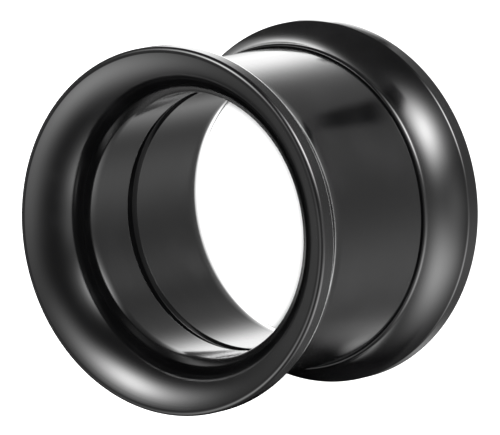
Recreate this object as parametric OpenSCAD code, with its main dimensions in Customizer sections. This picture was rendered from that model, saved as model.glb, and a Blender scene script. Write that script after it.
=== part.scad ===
// Two-piece screw-fit ear tunnel in black coated steel.
// The axis of the tunnel is Z, the back flare stands on Z = 0 and the front flare faces up.

/* [Barrel] */
// Gauge: outside diameter of the barrel that sits in the lobe
gauge_d = 14; // [8:0.5:30]
// Straight length of the barrel between the front flare's foot and the outer seam
grip_length = 6.04; // [4.6:0.02:14]
// Wall of the barrel around the counterbore
barrel_wall = 0.55; // [0.4:0.01:1]
// Chamfer around the open end of the barrel
barrel_chamfer = 0.08; // [0.04:0.01:0.2]

/* [Flares] */
// Height of both flares above the barrel
flare_rise = 0.95; // [0.6:0.01:1.2]
// Width of the straight land around each rim
land_width = 0.85; // [0.5:0.01:1.2]
// Radius of the outer edge of each rim
rim_rounding = 0.2; // [0.1:0.01:0.3]
// Width of the flat ring at each crest
crest_ring = 0.06; // [0.04:0.01:0.2]
// Slope of the bell where it reaches the flat ring, in degrees
bell_slope = 16.5; // [5:0.5:25]
// Length of the hollow flank from the front land down to the barrel
front_flank = 1.99; // [1.4:0.01:3]

/* [Back flare] */
// Length of the hollow flank from the back land up to the collar
back_flank = 2.08; // [1.4:0.01:3]
// Straight edge of the collar at the outer seam
collar_width = 0.06; // [0.04:0.01:0.6]
// Height of the collar above the barrel
collar_step = 0.16; // [0.05:0.01:0.3]

/* [Sleeve] */
// Length of the sleeve from the collar's face to its end
sleeve_length = 3.53; // [2:0.01:4.5]
// Wall of the sleeve
sleeve_wall = 0.66; // [0.4:0.01:1]
// Chamfer inside the end of the sleeve
sleeve_chamfer = 0.14; // [0.05:0.01:0.25]
// Chamfer outside the end of the sleeve, the lead of the screw fit
sleeve_lead = 0.2; // [0.05:0.01:0.3]

/* [Fits] */
// Radial clearance between the sleeve and the counterbore
screw_clearance = 0.05; // [0.02:0.01:0.1]
// Gap between the barrel's end and the collar's face
seam_gap = 0.08; // [0.02:0.01:0.2]
// Width of the groove between the sleeve's end and the counterbore's shoulder
inner_groove = 0.54; // [0.1:0.01:0.8]

/* [Hidden] */
$fn = 180;

// How far a cut runs past the metal that it opens
over = 0.5;

// Radii of the screw fit, worked inwards from the barrel
barrel_r = gauge_d / 2;
counterbore_r = barrel_r - barrel_wall;
sleeve_r = counterbore_r - screw_clearance;
bore_r = sleeve_r - sleeve_wall;

// Radii of the flares
flare_r = barrel_r + flare_rise;
collar_r = barrel_r + collar_step;
crest_r = flare_r - rim_rounding - crest_ring;

// The bell is an arc that leaves the bore upright and meets the crest at bell_slope
bell_r = (crest_r - bore_r) / (1 - sin(bell_slope));
bell_depth = bell_r * cos(bell_slope);

// Heights, worked upwards from the back crest
collar_foot_z = land_width + back_flank;
collar_z = collar_foot_z + collar_width;
barrel_end_z = collar_z + seam_gap;
sleeve_end_z = collar_z + sleeve_length;
shoulder_z = sleeve_end_z + inner_groove;
barrel_foot_z = barrel_end_z + grip_length;
overall_length = barrel_foot_z + front_flank + land_width;

// Radius of an arc that leaves the wall upright and moves out by rise over a length
function flank_radius(length, rise) = (length * length + rise * rise) / (2 * rise);

// Radial section of a plain band of metal outside the bore
module band(outer_r, z_low, z_high) {
    translate([bore_r, z_low])
        square([outer_r - bore_r, z_high - z_low]);
}

// Radial section of the 45 degree corner that a chamfer takes off, pointing along x_way and z_way
module corner_off(r, z, size, x_way, z_way) {
    polygon([
        [r + x_way * over, z + z_way * over],
        [r + x_way * over, z - z_way * (size + over)],
        [r - x_way * (size + over), z + z_way * over]
    ]);
}

// Waste inside the mouth: all that the convex bell leaves open above it
module mouth_waste() {
    difference() {
        translate([0, -over])
            square([bore_r + bell_r, bell_depth + over]);
        translate([bore_r + bell_r, bell_depth])
            circle(r = bell_r);
    }
}

// Waste outside the rounded outer edge of the rim
module rim_waste() {
    difference() {
        translate([flare_r - rim_rounding, -over])
            square([rim_rounding + over, rim_rounding + over]);
        translate([flare_r - rim_rounding, rim_rounding])
            circle(r = rim_rounding);
    }
}

// Radial section of one flare, crest on Z = 0, whose hollow flank runs up to root_r
module flare_section(root_r, flank) {
    arc_r = flank_radius(flank, flare_r - root_r);
    difference() {
        union() {
            band(flare_r, 0, land_width);
            difference() {
                band(flare_r + over, land_width, land_width + flank);
                translate([root_r + arc_r, land_width + flank])
                    circle(r = arc_r);
            }
        }
        mouth_waste();
        rim_waste();
    }
}

// Radial section of the back flare's collar, chamfered at the seam
module collar_section() {
    difference() {
        band(collar_r, collar_foot_z, collar_z);
        corner_off(collar_r, collar_z, collar_width / 2, 1, 1);
    }
}

// Radial section of the sleeve, chamfered inside and outside at its end
module sleeve_section() {
    difference() {
        band(sleeve_r, collar_z, sleeve_end_z);
        corner_off(bore_r, sleeve_end_z, sleeve_chamfer, -1, 1);
        corner_off(sleeve_r, sleeve_end_z, sleeve_lead, 1, 1);
    }
}

// Radial section of the barrel with its counterbore
module barrel_section() {
    difference() {
        band(barrel_r, barrel_end_z, barrel_foot_z);
        translate([0, barrel_end_z - over])
            square([counterbore_r, shoulder_z - barrel_end_z + over]);
        corner_off(barrel_r, barrel_end_z, barrel_chamfer, 1, -1);
    }
}

// Back flare with its collar and the inner sleeve
module back_flare() {
    color("#1b1b1d")
        rotate_extrude()
            union() {
                flare_section(collar_r, back_flank);
                collar_section();
                sleeve_section();
            }
}

// Front flare and barrel in one piece
module front_tunnel() {
    color("#1b1b1d")
        rotate_extrude()
            union() {
                translate([0, overall_length])
                    mirror([0, 1])
                        flare_section(barrel_r, front_flank);
                barrel_section();
            }
}

back_flare();
front_tunnel();
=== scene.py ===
"""Scene of a two-piece screw-fit ear tunnel in glossy black coated steel.

The tunnel stands on its back flare with its axis upright. The back flare carries the threaded inner
sleeve, and the front piece is a flare and a barrel turned from one bar. Both are lathe work, so each is
one closed radial section carried once round the axis.
"""

import logging
import math
from abc import ABC, abstractmethod
from collections.abc import Mapping
from dataclasses import dataclass
from enum import Enum
from typing import ClassVar

import bpy
import numpy as np
from mathutils import Matrix, Vector


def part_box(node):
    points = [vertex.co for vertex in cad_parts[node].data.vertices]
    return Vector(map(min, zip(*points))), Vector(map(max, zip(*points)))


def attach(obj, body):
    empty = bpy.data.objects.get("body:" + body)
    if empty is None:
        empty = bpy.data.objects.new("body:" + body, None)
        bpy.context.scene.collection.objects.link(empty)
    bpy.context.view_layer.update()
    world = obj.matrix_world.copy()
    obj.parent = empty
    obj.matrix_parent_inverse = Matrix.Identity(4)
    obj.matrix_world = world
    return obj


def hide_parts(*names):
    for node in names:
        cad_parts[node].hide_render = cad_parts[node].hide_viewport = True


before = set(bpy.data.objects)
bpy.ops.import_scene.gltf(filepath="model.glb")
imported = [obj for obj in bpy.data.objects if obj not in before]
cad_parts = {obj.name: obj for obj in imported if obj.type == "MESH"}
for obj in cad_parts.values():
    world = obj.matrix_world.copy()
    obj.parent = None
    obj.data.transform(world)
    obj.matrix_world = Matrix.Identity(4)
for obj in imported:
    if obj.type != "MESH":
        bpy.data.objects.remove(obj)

MM = 0.001
ON_WALL = 1e-6
LOG = logging.getLogger("ear_tunnel")
Socket = bpy.types.NodeSocket
SocketValue = Socket | float | tuple[float, ...]
Inputs = Mapping[str | int, SocketValue]


class Body(Enum):
    """The two moving bodies, by their names in the frame."""

    BACK = "back"
    FRONT = "front"


class Slot(Enum):
    """The record's material slots."""

    COAT = "black_coated_steel"


class Face(Enum):
    """The kinds of turned face, in the order of a piece's materials."""

    POLISHED = 0
    THREADED = 1


class Cut(Enum):
    """Which way a thread is cut from its wall."""

    OUTWARDS = 1.0
    TOWARDS_AXIS = -1.0


class Blend(Enum):
    """What a blend node mixes: its data type, and the ending of its sockets' identifiers."""

    VALUE = ("FLOAT", "Float")
    COLOUR = ("RGBA", "Color")


@dataclass(frozen=True)
class TunnelSizes:
    """Driving sizes of the tunnel in millimetres, as the solids have them."""

    gauge: float = 14.0
    grip: float = 6.04
    barrel_wall: float = 0.55
    flare_rise: float = 0.95
    land_width: float = 0.85
    rim_rounding: float = 0.2
    crest_ring: float = 0.06
    bell_slope_deg: float = 16.5
    front_flank: float = 1.99
    back_flank: float = 2.08
    collar_width: float = 0.06
    collar_step: float = 0.16
    sleeve_length: float = 3.53
    sleeve_wall: float = 0.66
    sleeve_chamfer: float = 0.14
    sleeve_lead: float = 0.2
    screw_clearance: float = 0.05
    seam_gap: float = 0.08
    inner_groove: float = 0.54

    @property
    def barrel_r(self) -> float:
        """Outside radius of the barrel."""
        return self.gauge / 2

    @property
    def counterbore_r(self) -> float:
        """Radius of the counterbore that takes the sleeve."""
        return self.barrel_r - self.barrel_wall

    @property
    def sleeve_r(self) -> float:
        """Outside radius of the sleeve."""
        return self.counterbore_r - self.screw_clearance

    @property
    def bore_r(self) -> float:
        """Radius of the hollow through both pieces."""
        return self.sleeve_r - self.sleeve_wall

    @property
    def flare_r(self) -> float:
        """Outside radius of both rims."""
        return self.barrel_r + self.flare_rise

    @property
    def collar_r(self) -> float:
        """Outside radius of the collar at the outer seam."""
        return self.barrel_r + self.collar_step

    @property
    def crest_r(self) -> float:
        """Inner radius of the flat ring at each crest."""
        return self.flare_r - self.rim_rounding - self.crest_ring

    @property
    def bell_r(self) -> float:
        """Radius of the bell's arc, upright at the bore and at bell_slope_deg on the crest."""
        return (self.crest_r - self.bore_r) / (1 - math.sin(math.radians(self.bell_slope_deg)))

    @property
    def bell_depth(self) -> float:
        """Depth below the crest at which the bell runs into the bore."""
        return self.bell_r * math.cos(math.radians(self.bell_slope_deg))

    @property
    def collar_foot_z(self) -> float:
        """Height at which the back flank meets the collar."""
        return self.land_width + self.back_flank

    @property
    def collar_z(self) -> float:
        """Height of the collar's face."""
        return self.collar_foot_z + self.collar_width

    @property
    def barrel_end_z(self) -> float:
        """Height of the barrel's open end."""
        return self.collar_z + self.seam_gap

    @property
    def sleeve_end_z(self) -> float:
        """Height of the sleeve's end."""
        return self.collar_z + self.sleeve_length

    @property
    def shoulder_z(self) -> float:
        """Height of the counterbore's shoulder."""
        return self.sleeve_end_z + self.inner_groove

    @property
    def barrel_foot_z(self) -> float:
        """Height at which the barrel meets the front flank."""
        return self.barrel_end_z + self.grip

    @property
    def length(self) -> float:
        """Overall length from crest to crest."""
        return self.barrel_foot_z + self.front_flank + self.land_width

    def check(self, allowed: float = 0.02) -> None:
        """Compares the reach of these sizes with the frame's solids.

        Args:
            allowed: Largest difference, in millimetres.

        Raises:
            ValueError: If a piece's outside radius or height isn't that of its solid.
        """
        reach = {"back_flare": (self.flare_r, self.sleeve_end_z), "front_tunnel": (self.flare_r, self.length)}
        for node, (radius, top) in reach.items():
            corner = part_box(node)[1]
            if abs(corner[0] / MM - radius) > allowed or abs(corner[2] / MM - top) > allowed:
                raise ValueError(f"{node} isn't the size that its solid has")


def arc_rows(
    centre: tuple[float, float], radius: float, start_deg: float, end_deg: float, rows: int
) -> np.ndarray:
    """Points along an arc in the radial plane: centre plus radius times (cos t, sin t) for even steps of t.

    Args:
        centre: Radius and height of the arc's centre, in millimetres.
        radius: Radius of the arc, in millimetres.
        start_deg: Angle of the first point, in degrees from the outward direction.
        end_deg: Angle of the last point.
        rows: Number of points, both ends included.

    Returns:
        An array of rows by 2, radius and height.
    """
    t = np.radians(np.linspace(start_deg, end_deg, rows))
    return np.column_stack([centre[0] + radius * np.cos(t), centre[1] + radius * np.sin(t)])


def ease_corners(points: np.ndarray, easing: np.ndarray, rows: int = 7) -> np.ndarray:
    """Rounds the corners of a closed outline that have an easing radius.

    Each such corner becomes an arc that touches both of its sides: the centre lies on the bisector at
    radius over cos of half the turn, and the arc turns evenly from one side's normal to the other's.

    Args:
        points: Corners of the outline in order, n by 2.
        easing: Radius at each corner, 0 where the point stays as it is.
        rows: Points on each arc.

    Returns:
        The outline with its corners rounded.
    """
    before = points - np.roll(points, 1, axis=0)
    after = np.roll(points, -1, axis=0) - points
    before /= np.linalg.norm(before, axis=1, keepdims=True)
    after /= np.linalg.norm(after, axis=1, keepdims=True)
    turn = np.arctan2(before[:, 0] * after[:, 1] - before[:, 1] * after[:, 0], (before * after).sum(axis=1))
    out = []
    for point, way, angle, radius in zip(points, before, turn, easing):
        if radius == 0:
            out.append(point[None, :])
            continue
        side = math.copysign(1.0, angle)
        start = point - way * radius * math.tan(abs(angle) / 2)
        inward = side * np.array([-way[1], way[0]])
        centre = start + inward * radius
        t = np.linspace(0, angle, rows)[:, None]
        spoke = -inward * radius
        out.append(centre + np.cos(t) * spoke + np.sin(t) * np.array([-spoke[1], spoke[0]]))
    return np.concatenate(out)


def hold_straights(points: np.ndarray, hold: float = 0.03, long_side: float = 0.2) -> np.ndarray:
    """Adds a row close to each end of every long side, so that smooth shading keeps the side straight.

    Args:
        points: A closed outline, n by 2.
        hold: Distance of the added rows from the side's ends, in millimetres.
        long_side: Shortest side that gets them.

    Returns:
        The outline with the added rows.
    """
    after = np.roll(points, -1, axis=0)
    length = np.linalg.norm(after - points, axis=1, keepdims=True)
    step = (after - points) / length * hold
    stack = np.stack([points, points + step, after - step], axis=1)
    keep = np.ones((len(points), 3), dtype=bool)
    keep[:, 1:] = length > long_side
    return stack[keep]


@dataclass(frozen=True)
class Run:
    """A run of points on a piece's outline, with the easing of its corners.

    Attributes:
        points: Rows of radius and height, in millimetres.
        every: Easing radius of all its corners, 0 where they stay as they are.
        first: Easing radius of its first corner, where that has one of its own.
        last: Easing radius of its last corner, where that has one of its own.
    """

    points: np.ndarray
    every: float = 0.0
    first: float = 0.0
    last: float = 0.0

    def easing(self) -> np.ndarray:
        """The easing radius at each point."""
        radii = np.full(len(self.points), self.every)
        radii[0] = self.first or radii[0]
        radii[-1] = self.last or radii[-1]
        return radii


def closed_outline(*runs: Run) -> np.ndarray:
    """Joins runs into one closed outline, eases its corners and holds its long sides straight.

    Args:
        runs: The runs in order, counterclockwise with radius to the right.

    Returns:
        Rows of radius and height in millimetres.
    """
    points = np.concatenate([run.points for run in runs])
    return hold_straights(ease_corners(points, np.concatenate([run.easing() for run in runs])))


@dataclass(frozen=True)
class Thread:
    """A fine screw thread cut into a straight wall.

    Attributes:
        radius: Radius of the wall, in millimetres.
        way: Which way the metal is cut away.
        z_low: Height where the thread starts.
        z_high: Height where it ends.
        pitch: Distance between crests.
        depth: Depth of the cut, towards the metal.
        run_out: Length over which the cut fades in and out.
        steepness: How much steeper the thread's sides are than a plain triangle's.
        flat: How much of the wave is cut off to leave flats at crest and root.
        rows_per_pitch: Rows of the mesh on each pitch.
    """

    radius: float
    way: Cut
    z_low: float
    z_high: float
    pitch: float = 0.5
    depth: float = 0.22
    run_out: float = 0.25
    steepness: float = 1.3
    flat: float = 0.15
    rows_per_pitch: int = 10

    def wall(self, upward: bool) -> np.ndarray:
        """Straight rows of the wall that carries the thread.

        Args:
            upward: True where the outline climbs the wall.

        Returns:
            Rows of radius and height.
        """
        count = int(round((self.z_high - self.z_low) / self.pitch * self.rows_per_pitch)) + 1
        z = np.linspace(self.z_low, self.z_high, count)
        rows = np.column_stack([np.full(count, self.radius), z])
        return rows if upward else rows[::-1]

    def cut(self, z: np.ndarray, angle: np.ndarray) -> np.ndarray:
        """Move of the radius: a clipped triangle wave, faded at both ends.

        The wave's phase is z over pitch less angle over a turn, so that it climbs a pitch each turn. It is
        steepened and then clipped to 0 to 1.

        Args:
            z: Heights of the rows, as a column.
            angle: Angles of the mesh's spokes, as a row.

        Returns:
            Move in millimetres for each row and spoke, positive away from the axis.
        """
        phase = np.mod(z / self.pitch - angle / (2 * math.pi), 1.0)
        wave = np.abs(2 * phase - 1)
        side = np.clip(self.steepness * wave - self.flat, 0, 1)
        fade_in = np.clip((z - self.z_low) / self.run_out, 0, 1)
        fade_out = np.clip((self.z_high - z) / self.run_out, 0, 1)
        return self.way.value * self.depth * side * fade_in * fade_out


def add_object(name: str, data: bpy.types.ID) -> bpy.types.Object:
    """Adds an object for a mesh, a lamp or a camera to the scene, at the origin.

    Args:
        name: Name of the object.
        data: Its mesh, lamp or camera.

    Returns:
        The object.
    """
    made = bpy.data.objects.new(name, data)
    bpy.context.scene.collection.objects.link(made)
    return made


def flat_sheet(name: str, corners: list[tuple[float, float]]) -> bpy.types.Object:
    """Adds a four-sided flat sheet that lies on the floor's level and faces up.

    Args:
        name: Name of the sheet.
        corners: Its corners in metres, counterclockwise seen from above.

    Returns:
        The sheet.
    """
    mesh = bpy.data.meshes.new(name)
    mesh.from_pydata([(*corner, 0.0) for corner in corners], [], [(0, 1, 2, 3)])
    return add_object(name, mesh)


def lathe(name: str, outline: np.ndarray, thread: Thread, spokes: int = 384) -> bpy.types.Object:
    """Carries a closed radial outline once round the axis: x = r cos a, y = r sin a, z = z.

    Where the outline follows the threaded wall, r is moved by the thread's cut.

    Args:
        name: Name of the piece.
        outline: Closed outline, counterclockwise with radius to the right, in millimetres.
        thread: The thread on one of its walls.
        spokes: Number of steps round the axis.

    Returns:
        The finished object, at the origin and smooth shaded, with the threaded faces' own material index.
    """
    angle = np.arange(spokes) * (2 * math.pi / spokes)
    on_wall = np.abs(outline[:, 0] - thread.radius) < ON_WALL
    z = np.repeat(outline[:, 1:], spokes, axis=1)
    r = outline[:, :1] + on_wall[:, None] * thread.cut(z, angle[None, :])
    co = np.stack([r * np.cos(angle), r * np.sin(angle), z], axis=-1).reshape(-1, 3) * MM
    rows = len(outline)
    i, j = np.meshgrid(np.arange(rows), np.arange(spokes), indexing="ij")
    i2, j2 = (i + 1) % rows, (j + 1) % spokes
    corners = [i * spokes + j, i * spokes + j2, i2 * spokes + j2, i2 * spokes + j]
    quads = np.stack(corners, axis=-1).reshape(-1, 4)
    kind = np.where(on_wall & np.roll(on_wall, -1), Face.THREADED.value, Face.POLISHED.value)
    mesh = bpy.data.meshes.new(name)
    mesh.vertices.add(len(co))
    mesh.vertices.foreach_set("co", co.astype(np.float32).ravel())
    mesh.loops.add(quads.size)
    mesh.loops.foreach_set("vertex_index", quads.ravel().astype(np.int32))
    mesh.polygons.add(len(quads))
    mesh.polygons.foreach_set("loop_start", np.arange(0, quads.size, 4, dtype=np.int32))
    mesh.polygons.foreach_set("material_index", np.repeat(kind, spokes).astype(np.int32))
    mesh.update(calc_edges=True)
    mesh.shade_smooth()
    return add_object(name, mesh)


@dataclass
class TurnedPart(ABC):
    """A part turned from bar: one closed outline carried round the axis, with a thread on one wall.

    Attributes:
        body: The body that it rides on.
        node: The solid that it replaces.
        sizes: Driving sizes of the tunnel.
        rim_edge: Easing of the edge between land and flank, in millimetres.
        thread_clear: Plain length left between the thread and its blind end.
        rim_rows: Rows of the mesh on the crest's rounding.
        flank_rows: Rows on the flank, few enough that its lip can be eased.
        bell_rows: Rows on the bell.
    """

    body: ClassVar[Body]
    node: ClassVar[str]
    sizes: TunnelSizes
    rim_edge: float
    thread_clear: float = 0.3
    rim_rows: int = 25
    flank_rows: int = 17
    bell_rows: int = 61

    @abstractmethod
    def thread(self) -> Thread:
        """The thread on the part."""

    @abstractmethod
    def outline(self) -> np.ndarray:
        """The part's closed section, as rows of radius and height in millimetres, counterclockwise."""

    def build(self, finishes: dict[Face, bpy.types.Material]) -> bpy.types.Object:
        """Builds the part, dresses it and hangs it on its body in place of its solid.

        Args:
            finishes: A material for each kind of face.

        Returns:
            The finished piece.
        """
        piece = lathe(f"{self.node}_turned", self.outline(), self.thread())
        for face in Face:
            piece.data.materials.append(finishes[face])
        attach(piece, self.body.value)
        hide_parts(self.node)
        return piece


@dataclass(frozen=True)
class FlankArc:
    """A hollow flank: an arc that leaves the wall upright and moves out by rise over length.

    Attributes:
        length: Length of the flank along the axis, in millimetres.
        rise: How far it moves out.
    """

    length: float
    rise: float

    @property
    def radius(self) -> float:
        """Radius of the arc: length squared plus rise squared, over twice the rise."""
        return (self.length**2 + self.rise**2) / (2 * self.rise)

    @property
    def lip_angle_deg(self) -> float:
        """Angle that the arc turns through from the wall to the lip."""
        return math.degrees(math.asin(self.length / self.radius))


@dataclass
class BackFlare(TurnedPart):
    """The back flare: rim, hollow flank, collar and the threaded sleeve that goes into the barrel.

    Attributes:
        collar_edge: Easing of the collar's edges, in millimetres.
        collar_round: Radius of the rounded rim at the top of the collar.
        collar_turn_deg: Elevations of the rim's normal where the rounding starts and where it ends.
        lip_rise: How far the rim of the collar's face stands up, which closes the seam.
        lip_width: Width of the slope from the face up to that rim.
        sleeve_edge: Easing of the sleeve's edges.
        collar_rows: Rows of the mesh on the collar's rounding.
    """

    body = Body.BACK
    node = "back_flare"
    rim_edge: float = 0.16
    collar_edge: float = 0.02
    collar_round: float = 0.25
    collar_turn_deg: tuple[float, float] = (12.0, 50.0)
    lip_rise: float = 0.05
    lip_width: float = 0.2
    sleeve_edge: float = 0.025
    flank_rows: int = 25
    collar_rows: int = 11
    bell_rows: int = 49

    def thread(self) -> Thread:
        """The male thread on the sleeve."""
        s = self.sizes
        low, high = s.collar_z + self.thread_clear, s.sleeve_end_z - s.sleeve_lead
        return Thread(s.sleeve_r, Cut.TOWARDS_AXIS, low, high)

    def collar(self) -> np.ndarray:
        """The collar's rounding: an arc that ends at the height of the lip.

        Returns:
            Rows of radius and height in millimetres.
        """
        s = self.sizes
        start, end = self.collar_turn_deg
        centre = (s.collar_r - self.collar_round * math.cos(math.radians(start)),
                  s.collar_z + self.lip_rise - self.collar_round * math.sin(math.radians(end)))
        return arc_rows(centre, self.collar_round, start, end, self.collar_rows)

    def outline(self) -> np.ndarray:
        """The flare's closed section: rim, flank and collar outside, then the sleeve, the bore and the bell.

        The flank's arc stops short of its upright end, at the height where the collar's rounding starts.

        Returns:
            Rows of radius and height in millimetres, counterclockwise.
        """
        s = self.sizes
        flank = FlankArc(s.back_flank, s.flare_r - s.collar_r)
        collar = self.collar()
        lip_deg = 180 + flank.lip_angle_deg
        foot_deg = 180 + math.degrees((s.collar_foot_z - collar[0, 1]) / flank.radius)
        rim_centre = (s.flare_r - s.rim_rounding, s.rim_rounding)
        flank_centre = (s.collar_r + flank.radius, s.collar_foot_z)
        bell_centre = (s.bore_r + s.bell_r, s.bell_depth)
        face = [[collar[-1, 0] - self.lip_width, s.collar_z], [s.sleeve_r, s.collar_z]]
        sleeve_end = [
            [s.sleeve_r - s.sleeve_lead, s.sleeve_end_z],
            [s.bore_r + s.sleeve_chamfer, s.sleeve_end_z],
            [s.bore_r, s.sleeve_end_z - s.sleeve_chamfer],
        ]
        return closed_outline(
            Run(arc_rows(rim_centre, s.rim_rounding, -90, 0, self.rim_rows)),
            Run(arc_rows(flank_centre, flank.radius, lip_deg, foot_deg, self.flank_rows)[:-1],
                first=self.rim_edge),
            Run(collar, last=self.collar_edge),
            Run(np.array(face), every=self.collar_edge),
            Run(self.thread().wall(upward=True)),
            Run(np.array(sleeve_end), every=self.sleeve_edge),
            Run(arc_rows(bell_centre, s.bell_r, 180, 270 - s.bell_slope_deg, self.bell_rows),
                last=s.crest_ring),
        )


@dataclass
class FrontTunnel(TurnedPart):
    """The front piece: flare, barrel and bore, with the threaded counterbore in its open end.

    Attributes:
        end_chamfer: Chamfer outside the barrel's open end, in millimetres.
        inner_edge: Easing of the other edges.
        mouth_chamfer: Chamfer of the counterbore's mouth.
    """

    body = Body.FRONT
    node = "front_tunnel"
    rim_edge: float = 0.25
    end_chamfer: float = 0.05
    inner_edge: float = 0.025
    mouth_chamfer: float = 0.12

    def thread(self) -> Thread:
        """The female thread in the counterbore."""
        s = self.sizes
        low = s.barrel_end_z + self.mouth_chamfer
        return Thread(s.counterbore_r, Cut.OUTWARDS, low, s.shoulder_z - self.thread_clear)

    def outline(self) -> np.ndarray:
        """The piece's closed section: barrel, flank and rim outside, then the bell, bore and counterbore.

        Returns:
            Rows of radius and height in millimetres, counterclockwise.
        """
        s = self.sizes
        flank = FlankArc(s.front_flank, s.flare_r - s.barrel_r)
        lip_deg = 180 - flank.lip_angle_deg
        flank_centre = (s.barrel_r + flank.radius, s.barrel_foot_z)
        rim_centre = (s.flare_r - s.rim_rounding, s.length - s.rim_rounding)
        bell_centre = (s.bore_r + s.bell_r, s.length - s.bell_depth)
        barrel_end = [
            [s.barrel_r - self.end_chamfer, s.barrel_end_z],
            [s.barrel_r, s.barrel_end_z + self.end_chamfer],
        ]
        shoulder = [[s.bore_r, s.shoulder_z], [s.counterbore_r, s.shoulder_z]]
        mouth = [[s.counterbore_r + self.mouth_chamfer, s.barrel_end_z]]
        return closed_outline(
            Run(np.array(barrel_end), every=self.inner_edge),
            Run(arc_rows(flank_centre, flank.radius, 180, lip_deg, self.flank_rows), last=self.rim_edge),
            Run(arc_rows(rim_centre, s.rim_rounding, 0, 90, self.rim_rows)),
            Run(arc_rows(bell_centre, s.bell_r, 90 + s.bell_slope_deg, 180, self.bell_rows),
                first=s.crest_ring),
            Run(np.array(shoulder), every=self.inner_edge),
            Run(self.thread().wall(upward=False)),
            Run(np.array(mouth), every=self.inner_edge),
        )


@dataclass(frozen=True)
class PhotoCamera:
    """The camera at the photograph's angle to the tunnel.

    Attributes:
        picture: Width and height of the photograph in pixels.
        crest_px: Where the centre of the front crest's plane lies in the photograph.
        mm_per_px: Size of a pixel at that plane, in millimetres.
        distance: Distance from the camera to that plane along its sight line, in millimetres.
        tilt_deg: Angle between the tunnel's axis and the sight line.
        roll_deg: How far the tunnel's back end rises above the picture's horizontal.
        sensor: Width of the sensor in millimetres.
        clip: Nearest and farthest distance that it sees, in metres.
    """

    picture: tuple[int, int] = (500, 435)
    crest_px: tuple[float, float] = (169.5, 232.2)
    mm_per_px: float = 0.04265
    distance: float = 377.3
    tilt_deg: float = 35.97
    roll_deg: float = 11.67
    sensor: float = 36.0
    clip: tuple[float, float] = (0.01, 20.0)

    def place(self, crest_z: float) -> bpy.types.Object:
        """Puts the camera where the front crest falls on its place in the photograph.

        The axis seen from the camera is (-sin tilt cos roll, -sin tilt sin roll, cos tilt) in camera
        axes, and the camera stands on the -Y side, so these give its turn. The picture's up is close to +X.

        Args:
            crest_z: Height of the front crest, in millimetres.

        Returns:
            The camera.
        """
        tilt, roll = math.radians(self.tilt_deg), math.radians(self.roll_deg)
        up = Vector((-math.sin(tilt) * math.cos(roll), -math.sin(tilt) * math.sin(roll), math.cos(tilt)))
        sight = Vector((0.0, 0.0, 1.0))
        towards = (sight - up * up.dot(sight)).normalized()
        across = (-towards).cross(up)
        turn = Matrix((across, -towards, up))
        offset = Vector((
            (self.crest_px[0] - self.picture[0] / 2) * self.mm_per_px,
            (self.picture[1] / 2 - self.crest_px[1]) * self.mm_per_px,
            -self.distance,
        ))
        data = bpy.data.cameras.new("photo_camera")
        data.sensor_width = self.sensor
        data.lens = self.distance / (self.picture[0] * self.mm_per_px) * self.sensor
        data.clip_start, data.clip_end = self.clip
        camera = add_object("photo_camera", data)
        place = (Vector((0, 0, crest_z)) - turn @ offset) * MM
        camera.matrix_world = Matrix.Translation(place) @ turn.to_4x4()
        bpy.context.scene.camera = camera
        return camera


@dataclass(frozen=True)
class Wiring:
    """Shorthand for placing and joining nodes.

    Attributes:
        tree: The node tree to work in.
    """

    tree: bpy.types.NodeTree

    def feed(self, socket: Socket, value: SocketValue) -> None:
        """Joins an output to a socket, or sets the socket to a plain value.

        Args:
            socket: The input socket.
            value: An output socket, a number or a tuple.
        """
        if isinstance(value, Socket):
            self.tree.links.new(value, socket)
        else:
            socket.default_value = value

    def fill(self, node: bpy.types.Node, inputs: Inputs) -> None:
        """Feeds several inputs of a node, by name or number."""
        for key, value in inputs.items():
            self.feed(node.inputs[key], value)

    def node(self, kind: str, inputs: Inputs | None = None, **settings: object) -> bpy.types.Node:
        """Adds a node.

        Args:
            kind: The node's type name.
            inputs: What its inputs take, by name or number.
            settings: Properties to set on it.

        Returns:
            The node.
        """
        made = self.tree.nodes.new(kind)
        for name, value in settings.items():
            setattr(made, name, value)
        self.fill(made, inputs or {})
        return made

    def math(self, operation: str, *values: SocketValue) -> Socket:
        """Result of a Math node with these inputs."""
        return self.node("ShaderNodeMath", dict(enumerate(values)), operation=operation).outputs[0]

    def vector(self, operation: str, *values: SocketValue, output: str = "Vector") -> Socket:
        """Result of a Vector Math node with these inputs, from the output of this name."""
        return self.node("ShaderNodeVectorMath", dict(enumerate(values)), operation=operation).outputs[output]

    def step(self, value: SocketValue, low: float, high: float) -> Socket:
        """Soft step: 0 below low, 1 above high and a smooth rise between."""
        inputs = {"Value": value, "From Min": low, "From Max": high}
        return self.node("ShaderNodeMapRange", inputs, interpolation_type="SMOOTHSTEP").outputs["Result"]

    def noise(self, place: Socket, scale: SocketValue, detail: float = 3.0) -> Socket:
        """Noise from 0 to 1 read at a place, with scale in patches per unit of length."""
        inputs = {"Vector": place, "Scale": scale, "Detail": detail}
        return self.node("ShaderNodeTexNoise", inputs).outputs["Fac"]

    def bump(self, height: Socket, depth: float) -> Socket:
        """Normal tilted by a relief, where a height of 1 stands for so many metres of depth."""
        return self.node("ShaderNodeBump", {"Height": height, "Distance": depth}).outputs["Normal"]

    def group(self, tree: bpy.types.NodeTree, inputs: Inputs) -> bpy.types.bpy_prop_collection:
        """Outputs of a node group that takes these inputs."""
        return self.node("ShaderNodeGroup", inputs, node_tree=tree).outputs

    def blend(self, factor: Socket, low: SocketValue, high: SocketValue, kind: Blend = Blend.VALUE) -> Socket:
        """Blend from one value or colour to another.

        Args:
            factor: 0 for the first and 1 for the second.
            low: The first.
            high: The second.
            kind: Whether they are values or colours.

        Returns:
            The result.
        """
        data_type, ending = kind.value
        made = self.node("ShaderNodeMix", data_type=data_type)
        sockets = {socket.identifier: socket for socket in (*made.inputs, *made.outputs)}
        for name, value in (("Factor_Float", factor), (f"A_{ending}", low), (f"B_{ending}", high)):
            self.feed(sockets[name], value)
        return sockets[f"Result_{ending}"]


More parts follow.
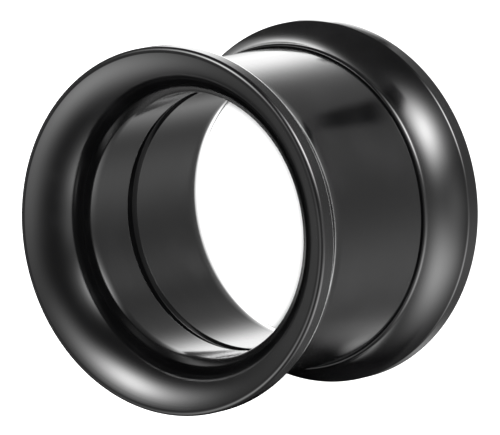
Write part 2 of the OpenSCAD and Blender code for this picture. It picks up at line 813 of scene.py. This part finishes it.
def start_material(name: str) -> tuple[bpy.types.Material, Wiring, Socket]:
    """Starts a material whose pattern is laid by place.

    Args:
        name: Name of the material.

    Returns:
        The material, the wiring of its node tree, and the shaded place in the object's own axes.
    """
    material = bpy.data.materials.new(name)
    material.use_nodes = True
    wire = Wiring(material.node_tree)
    return material, wire, wire.node("ShaderNodeTexCoord").outputs["Object"]


@dataclass(frozen=True)
class BlackCoat:
    """Hard black coating on turned steel, polished or left as the tool cut it.

    Attributes:
        name: Name of the material.
        colour: Base colour of the coating.
        haze_colour: Base colour where the coating is hazed.
        roughness: Roughness of the clean surface.
        haze_roughness: Roughness that haze adds.
        line_roughness: Roughness that the turning lines add.
        line_depth: Depth of the turning lines, in millimetres.
        line_pitch: Distance between turning lines, in millimetres.
        ior: Index of refraction, which sets how much it reflects.
    """

    name: str
    colour: tuple[float, float, float]
    haze_colour: tuple[float, float, float]
    roughness: float
    haze_roughness: float
    line_roughness: float
    line_depth: float
    line_pitch: float
    ior: float = 1.55

    def build(self, effects: "CoatEffects") -> bpy.types.Material:
        """Builds the material from the shared effects.

        Args:
            effects: The node groups of turning lines and haze.

        Returns:
            The material.
        """
        material, wire, place = start_material(self.name)
        lines = wire.group(effects.lines, {"Place": place, "Pitch": self.line_pitch * MM})["Lines"]
        haze = wire.group(effects.haze, {"Place": place, "Size": effects.haze_size * MM})["Haze"]
        tint = wire.blend(haze, (*self.colour, 1.0), (*self.haze_colour, 1.0), Blend.COLOUR)
        rough = wire.math("MULTIPLY_ADD", haze, self.haze_roughness, self.roughness)
        wire.fill(wire.tree.nodes["Principled BSDF"], {
            "Base Color": tint,
            "Roughness": wire.math("MULTIPLY_ADD", lines, self.line_roughness, rough),
            "Normal": wire.bump(lines, self.line_depth * MM),
            "IOR": self.ior,
        })
        return material


class CoatEffects:
    """The node groups that both finishes share.

    Attributes:
        haze_size: Size of the hazed patches, in millimetres.
        radius_share: How many radii are added to the height along the section, so that faces square to the
            axis have lines too.
        line_step: Where the noise starts to be a line, and where it fully is one.
        haze_step: Where the noise starts to be haze, and where it fully is.
        haze_detail: How many finer noises are laid over the haze.
    """

    haze_size: float = 3.0
    radius_share: float = 1.3
    line_step: tuple[float, float] = (0.25, 0.75)
    haze_step: tuple[float, float] = (0.42, 0.8)
    haze_detail: float = 4.0

    def __init__(self) -> None:
        """Builds the groups."""
        self.lines = self.turning_lines()
        self.haze = self.polish_haze()

    @staticmethod
    def begin(name: str, size: str, output: str) -> tuple[Wiring, Socket, Socket, Socket]:
        """Starts a node group that reads a place and a size and gives one value.

        Args:
            name: Name of the group.
            size: Name of the size's input, beside the one named Place.
            output: Name of the output.

        Returns:
            The wiring of its tree, its place, its size, and the socket that its result goes to.
        """
        tree = bpy.data.node_groups.new(name, "ShaderNodeTree")
        tree.interface.new_socket("Place", in_out="INPUT", socket_type="NodeSocketVector")
        tree.interface.new_socket(size, in_out="INPUT", socket_type="NodeSocketFloat")
        tree.interface.new_socket(output, in_out="OUTPUT", socket_type="NodeSocketFloat")
        wire = Wiring(tree)
        given, result = wire.node("NodeGroupInput"), wire.node("NodeGroupOutput")
        return wire, given.outputs["Place"], given.outputs[size], result.inputs[output]

    def turning_lines(self) -> bpy.types.NodeTree:
        """Lines that turning and polishing leave round the axis.

        The noise is read at (cos a, sin a, s over pitch), where a is the angle round the axis and s is
        height plus radius_share radii, so that a line is thin along the section and long round the axis.

        Returns:
            The group, with 0 to 1 in Lines.
        """
        wire, place, pitch, lines = self.begin("turning_lines", "Pitch", "Lines")
        flat = wire.vector("MULTIPLY", place, (1.0, 1.0, 0.0))
        radius = wire.vector("LENGTH", flat, output="Value")
        spoke = wire.vector("NORMALIZE", flat)
        height = wire.vector("DOT_PRODUCT", place, (0.0, 0.0, 1.0), output="Value")
        along = wire.math("MULTIPLY_ADD", radius, self.radius_share, height)
        lift = wire.node("ShaderNodeCombineXYZ", {"Z": wire.math("DIVIDE", along, pitch)})
        noise = wire.noise(wire.vector("ADD", spoke, lift.outputs["Vector"]), 1.0)
        wire.feed(lines, wire.step(noise, *self.line_step))
        return wire.tree

    def polish_haze(self) -> bpy.types.NodeTree:
        """Soft patches where the polish is a little duller: noise over Size, kept above its middle.

        Returns:
            The group, with 0 to 1 in Haze.
        """
        wire, place, size, haze = self.begin("polish_haze", "Size", "Haze")
        noise = wire.noise(place, wire.math("DIVIDE", 1.0, size), self.haze_detail)
        wire.feed(haze, wire.step(noise, *self.haze_step))
        return wire.tree


def coat_finishes() -> dict[Face, bpy.types.Material]:
    """Builds the two finishes of the coat from the shared effects.

    Returns:
        A material for each kind of face.
    """
    effects = CoatEffects()
    polished = BlackCoat(
        name="polished_black_coat", colour=(0.0015, 0.0015, 0.0016), haze_colour=(0.004, 0.004, 0.0042),
        roughness=0.07, haze_roughness=0.07, line_roughness=0.04, line_depth=0.0003, line_pitch=0.12)
    as_cut = BlackCoat(
        name="as_cut_black_coat", colour=(0.004, 0.004, 0.0042), haze_colour=(0.01, 0.01, 0.0105),
        roughness=0.22, haze_roughness=0.12, line_roughness=0.1, line_depth=0.0008, line_pitch=0.05)
    return {Face.POLISHED: polished.build(effects), Face.THREADED: as_cut.build(effects)}


@dataclass(frozen=True)
class PaleCard:
    """Matt white card for the floor, with faint mottle and a fine grain.

    Attributes:
        white: Reflectance of the card.
        mottle: How far the reflectance falls in its duller patches.
        patch: Size of the patches, in millimetres.
        grain: Size of the grain.
        grain_depth: Depth of the grain.
        roughness: Roughness between the grains.
        grain_roughness: Roughness that the grain adds.
        sheen: How much the card reflects, as the shader's specular level.
    """

    white: float = 0.9
    mottle: float = 0.02
    patch: float = 30.0
    grain: float = 0.3
    grain_depth: float = 0.003
    roughness: float = 0.85
    grain_roughness: float = 0.1
    sheen: float = 0.1

    def build(self) -> bpy.types.Material:
        """Builds the material.

        Returns:
            The material.
        """
        material, wire, place = start_material("pale_card")
        patches, grains = (wire.noise(place, 1 / (size * MM)) for size in (self.patch, self.grain))
        white = wire.math("MULTIPLY_ADD", patches, -self.mottle, self.white + self.mottle / 2)
        tone = wire.node("ShaderNodeCombineColor", dict.fromkeys(("Red", "Green", "Blue"), white))
        wire.fill(wire.tree.nodes["Principled BSDF"], {
            "Base Color": tone.outputs["Color"],
            "Roughness": wire.math("MULTIPLY_ADD", grains, self.grain_roughness, self.roughness),
            "Specular IOR Level": self.sheen,
            "Normal": wire.bump(grains, self.grain_depth * MM),
        })
        return material


@dataclass(frozen=True)
class SkyPlace:
    """A place far away in the room.

    Attributes:
        azimuth_deg: Where it stands, from +X towards +Y.
        elevation_deg: How high it stands above the floor's level.
    """

    azimuth_deg: float
    elevation_deg: float

    def facing(self, wire: Wiring, ray: Socket) -> Socket:
        """Cosine between a ray and the direction of this place, (cos e cos a, cos e sin a, sin e).

        Args:
            wire: The wiring of the room's node tree.
            ray: Direction of the ray.

        Returns:
            The cosine.
        """
        a, e = math.radians(self.azimuth_deg), math.radians(self.elevation_deg)
        way = (math.cos(e) * math.cos(a), math.cos(e) * math.sin(a), math.sin(e))
        return wire.vector("DOT_PRODUCT", ray, way, output="Value")


@dataclass(frozen=True)
class SoftLamp(SkyPlace):
    """A soft lamp far away, seen by the polished coat as a round glow.

    Attributes:
        spread_deg: Angle at which the glow has fallen to about 0.6 of its middle.
        strength: Brightness of the middle, 1 for plain white.
    """

    spread_deg: float
    strength: float

    def add(self, wire: Wiring, ray: Socket, behind: SocketValue) -> Socket:
        """Adds the lamp: strength times exp((d - 1) / spread squared), d being the cosine of ray and lamp.

        Args:
            wire: The wiring of the room's node tree.
            ray: Direction of the ray.
            behind: Brightness behind the lamp.

        Returns:
            Brightness with the lamp lit.
        """
        fall = wire.math("SUBTRACT", self.facing(wire, ray), 1.0)
        glow = wire.math("EXPONENT", wire.math("DIVIDE", fall, math.radians(self.spread_deg) ** 2))
        return wire.math("MULTIPLY_ADD", glow, self.strength, behind)


@dataclass(frozen=True)
class SoftSheet(SkyPlace):
    """A round sheet or card far away with a soft edge, black where its strength is 0.

    Attributes:
        radius_deg: Its radius, seen from the tunnel.
        edge_deg: Half the width of the soft edge.
        strength: Its brightness, 1 for plain white.
    """

    radius_deg: float
    edge_deg: float
    strength: float

    def add(self, wire: Wiring, ray: Socket, behind: SocketValue) -> Socket:
        """Lays the sheet over what is behind it, by a soft step of the cosine between ray and sheet.

        Args:
            wire: The wiring of the room's node tree.
            ray: Direction of the ray.
            behind: Brightness behind the sheet.

        Returns:
            Brightness with the sheet in place.
        """
        outer = math.cos(math.radians(self.radius_deg + self.edge_deg))
        inner = math.cos(math.radians(self.radius_deg - self.edge_deg))
        return wire.blend(wire.step(self.facing(wire, ray), outer, inner), behind, self.strength)


@dataclass(frozen=True)
class SoftHole:
    """A round hole in a painted shadow card on the floor, with a soft edge.

    Attributes:
        centre: Its middle on the floor, in millimetres.
        radius: Radius within which the hole is open.
        softness: Length over which the card fades in outside that.
    """

    centre: tuple[float, float]
    radius: float
    softness: float


FOOT_HOLE = SoftHole((0.0, 0.0), 8.0, 0.2)
SHEET_CORNERS = ((-1, -1), (1, -1), (1, 1), (-1, 1))


@dataclass(frozen=True)
class ShadowCard:
    """Painted shadow: a dark card lying on the floor beside the tunnel, which shows only in the polished
    coat's mirror and darkens it there as shade on the floor would.

    Attributes:
        name: Name of the card.
        centre: Its middle on the floor, in millimetres.
        half: Half its length and half its width.
        turn_deg: Angle of its length from +X towards +Y.
        softness: Lengths over which it fades at its ends and at its sides.
        cover: How dark the painted shadow is, 1 for black.
        holes: The round holes in it, of which the first is for the tunnel's foot.
    """

    name: str
    centre: tuple[float, float]
    half: tuple[float, float]
    turn_deg: float
    softness: tuple[float, float]
    cover: float
    holes: tuple[SoftHole, ...] = (FOOT_HOLE,)

    def lay(self) -> bpy.types.Object:
        """Lays the painted shadow card.

        Returns:
            The card.
        """
        turn = math.radians(self.turn_deg)
        along, across = Vector((math.cos(turn), math.sin(turn))), Vector((-math.sin(turn), math.cos(turn)))
        middle = Vector(self.centre)
        corners = [middle + along * self.half[0] * u + across * self.half[1] * v for u, v in SHEET_CORNERS]
        shadow_card = flat_sheet(self.name, [corner * MM for corner in corners])
        shadow_card.data.materials.append(self.finish(along, across))
        # Seen only by glossy rays, so the card is painted shadow in the coat's mirror
        shadow_card.visible_camera = shadow_card.visible_diffuse = shadow_card.visible_shadow = False
        return shadow_card

    def finish(self, along: Vector, across: Vector) -> bpy.types.Material:
        """Painted shadow: black that fades to nothing at the card's border and in its holes.

        It is solid where |u| and |v| lie more than the softness inside half the length and half the width, u
        and v being the distances from the card's middle along and across it.

        Args:
            along: Direction of the card's length on the floor.
            across: Direction of its width.

        Returns:
            The material.
        """
        material, wire, place = start_material(self.name)
        wire.tree.nodes.remove(wire.tree.nodes["Principled BSDF"])
        offset = wire.vector("SUBTRACT", place, (self.centre[0] * MM, self.centre[1] * MM, 0.0))
        solid = self.cover
        for hole in self.holes:
            spot = (hole.centre[0] * MM, hole.centre[1] * MM, 0.0)
            away = wire.vector("DISTANCE", place, spot, output="Value")
            shut = wire.step(away, hole.radius * MM, (hole.radius + hole.softness) * MM)
            solid = wire.math("MULTIPLY", shut, solid)
        for way, half, softness in zip((along, across), self.half, self.softness):
            reach = wire.vector("DOT_PRODUCT", offset, (way.x, way.y, 0.0), output="Value")
            inside = wire.math("SUBTRACT", half * MM, wire.math("ABSOLUTE", reach))
            solid = wire.math("MULTIPLY", wire.step(inside, 0.0, softness * MM), solid)
        # Painted shadow: black where solid and clear elsewhere, mirrored by the coat as shade on the floor
        clear = wire.node("ShaderNodeBsdfTransparent").outputs["BSDF"]
        painted_shadow = wire.node("ShaderNodeEmission", {"Strength": 0.0}).outputs["Emission"]
        mix = wire.node("ShaderNodeMixShader", {0: solid, 1: clear, 2: painted_shadow})
        wire.fill(wire.tree.nodes["Material Output"], {"Surface": mix.outputs["Shader"]})
        return material


@dataclass
class Studio:
    """Plain pale floor, a key lamp for it, the soft lamps and sheets that the coat mirrors, and dark cards
    that paint shadow into the coat's mirror.

    Attributes:
        floor_half: Half the floor's side, in metres.
        floor_card: Finish of the floor.
        fill: Brightness of the room's even light.
        key: Irradiance of the key lamp on a face square to it.
        key_softness_deg: Angle that the key lamp takes up in the sky.
        dusk: Brightness of the room between the lamps, as the coat sees it.
        sheets: White sheet, grey card and black card low behind the tunnel, each laid over the one before.
        lamps: The soft lamps.
        shadow_cards: The dark cards on the floor, painted shadow that only the coat's mirror shows.
    """

    floor_half: float = 2.0
    floor_card: PaleCard = PaleCard()
    fill: float = 0.7
    key: float = 6.5
    key_softness_deg: float = 3.0
    dusk: float = 0.12
    # Azimuth, elevation, radius and edge in degrees, then strength
    sheets: tuple[SoftSheet, ...] = (
        SoftSheet(90, -74, 22, 4, 3.6),
        SoftSheet(72, -36, 20, 6, 0.5),
        SoftSheet(107, -27, 35, 3, 0.0),
    )
    # Azimuth, elevation and spread in degrees, then strength
    lamps: tuple[SoftLamp, ...] = (
        SoftLamp(9, 43, 10.2, 15.3),
        SoftLamp(30, 32, 10, 2.2),
        SoftLamp(-15, 61, 11, 1.7),
        SoftLamp(-63, -20, 11, 13.0),
        SoftLamp(-55, -36, 7, 1.4),
        SoftLamp(-64, -6, 10.5, 7.5),
        SoftLamp(-66, 15, 11, 0.7),
        SoftLamp(-78, -20, 14, 0.9),
        SoftLamp(-142, -16, 17, 4.9),
        SoftLamp(-135, 6, 10, 0.9),
        SoftLamp(-106, 8, 12, 0.9),
        SoftLamp(148, 50, 12, 2.9),
        SoftLamp(140, 30, 14, 2.0),
        SoftLamp(178, 73, 15, 1.5),
        SoftLamp(80, 26, 22, 0.4),
        SoftLamp(40, -54, 9.5, 2.9),
        SoftLamp(145, -57, 9, 0.6),
        SoftLamp(-10, -66, 9, 0.4),
        SoftLamp(-90, -75, 24, 0.25),
    )
    # Painted shadow on the floor. Name, middle, half length and width in millimetres, turn, softness, cover
    # and holes
    shadow_cards: tuple[ShadowCard, ...] = (
        ShadowCard("low_shadow_card", (-8.0, 18.8), (26.0, 20.0), 23.0, (18.0, 4.0), 0.97,
                  (FOOT_HOLE, SoftHole((-7.6, -0.9), 0.8, 1.2))),
        ShadowCard("side_shadow_card", (6.8, -8.4), (2.4, 1.6), -31.0, (1.4, 1.2), 0.85),
        ShadowCard("foot_shadow_card", (7.1, -3.7), (2.1, 0.55), 62.0, (0.8, 0.15), 0.85),
    )

    def floor(self) -> bpy.types.Object:
        """Lays the floor under the tunnel's standing ring.

        Returns:
            The floor.
        """
        floor = flat_sheet("floor", [(self.floor_half * u, self.floor_half * v) for u, v in SHEET_CORNERS])
        floor.data.materials.append(self.floor_card.build())
        floor.visible_glossy = False
        return floor

    def key_lamp(self, camera: bpy.types.Object) -> bpy.types.Object:
        """Hangs the lamp that whitens the floor, also inside the tunnel, and keeps it out of the mirror.

        It shines along the photograph's sight line, so the shadow that it throws lies behind the tunnel.

        Args:
            camera: The camera at the photograph's angle.

        Returns:
            The lamp.
        """
        data = bpy.data.lights.new("key_lamp", "SUN")
        data.energy = self.key
        data.angle = math.radians(self.key_softness_deg)
        lamp = add_object("key_lamp", data)
        lamp.matrix_world = camera.matrix_world
        lamp.visible_glossy = False
        return lamp

    def room(self) -> bpy.types.World:
        """Makes the room: even white for the eye and the floor, soft lamps for the coat's mirror.

        The sheets are laid over the dusk first, and the lamps are then added.

        Returns:
            The world.
        """
        world = bpy.data.worlds.new("studio")
        bpy.context.scene.world = world
        world.use_nodes = True
        world.cycles.sampling_method = "NONE"
        wire = Wiring(world.node_tree)
        ray = wire.node("ShaderNodeTexCoord").outputs["Generated"]
        glow = self.dusk
        for light in (*self.sheets, *self.lamps):
            glow = light.add(wire, ray, glow)
        path = wire.node("ShaderNodeLightPath").outputs
        seen = wire.blend(path["Is Camera Ray"], self.fill, 1.0)
        shown = wire.blend(path["Is Glossy Ray"], seen, glow)
        wire.fill(wire.tree.nodes["Background"], {"Color": (1.0, 1.0, 1.0, 1.0), "Strength": shown})
        return world

    def set_up(self, camera: bpy.types.Object) -> None:
        """Lays the floor and its painted shadow cards, hangs the lamp and makes the room.

        Args:
            camera: The camera at the photograph's angle.
        """
        self.floor()
        for shadow_card in self.shadow_cards:
            shadow_card.lay()
        self.key_lamp(camera)
        self.room()
        bpy.context.scene.view_settings.view_transform = "Standard"


def main() -> None:
    """Builds the pieces, dresses them and sets the studio."""
    logging.basicConfig(level=logging.INFO, format="%(name)s: %(message)s")
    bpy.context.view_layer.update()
    sizes = TunnelSizes()
    sizes.check()
    finishes = coat_finishes()
    for part in (BackFlare(sizes), FrontTunnel(sizes)):
        piece = part.build(finishes)
        LOG.info("%s: %d faces", piece.name, len(piece.data.polygons))
    Studio().set_up(PhotoCamera().place(sizes.length))


if __name__ == "__main__":
    main()
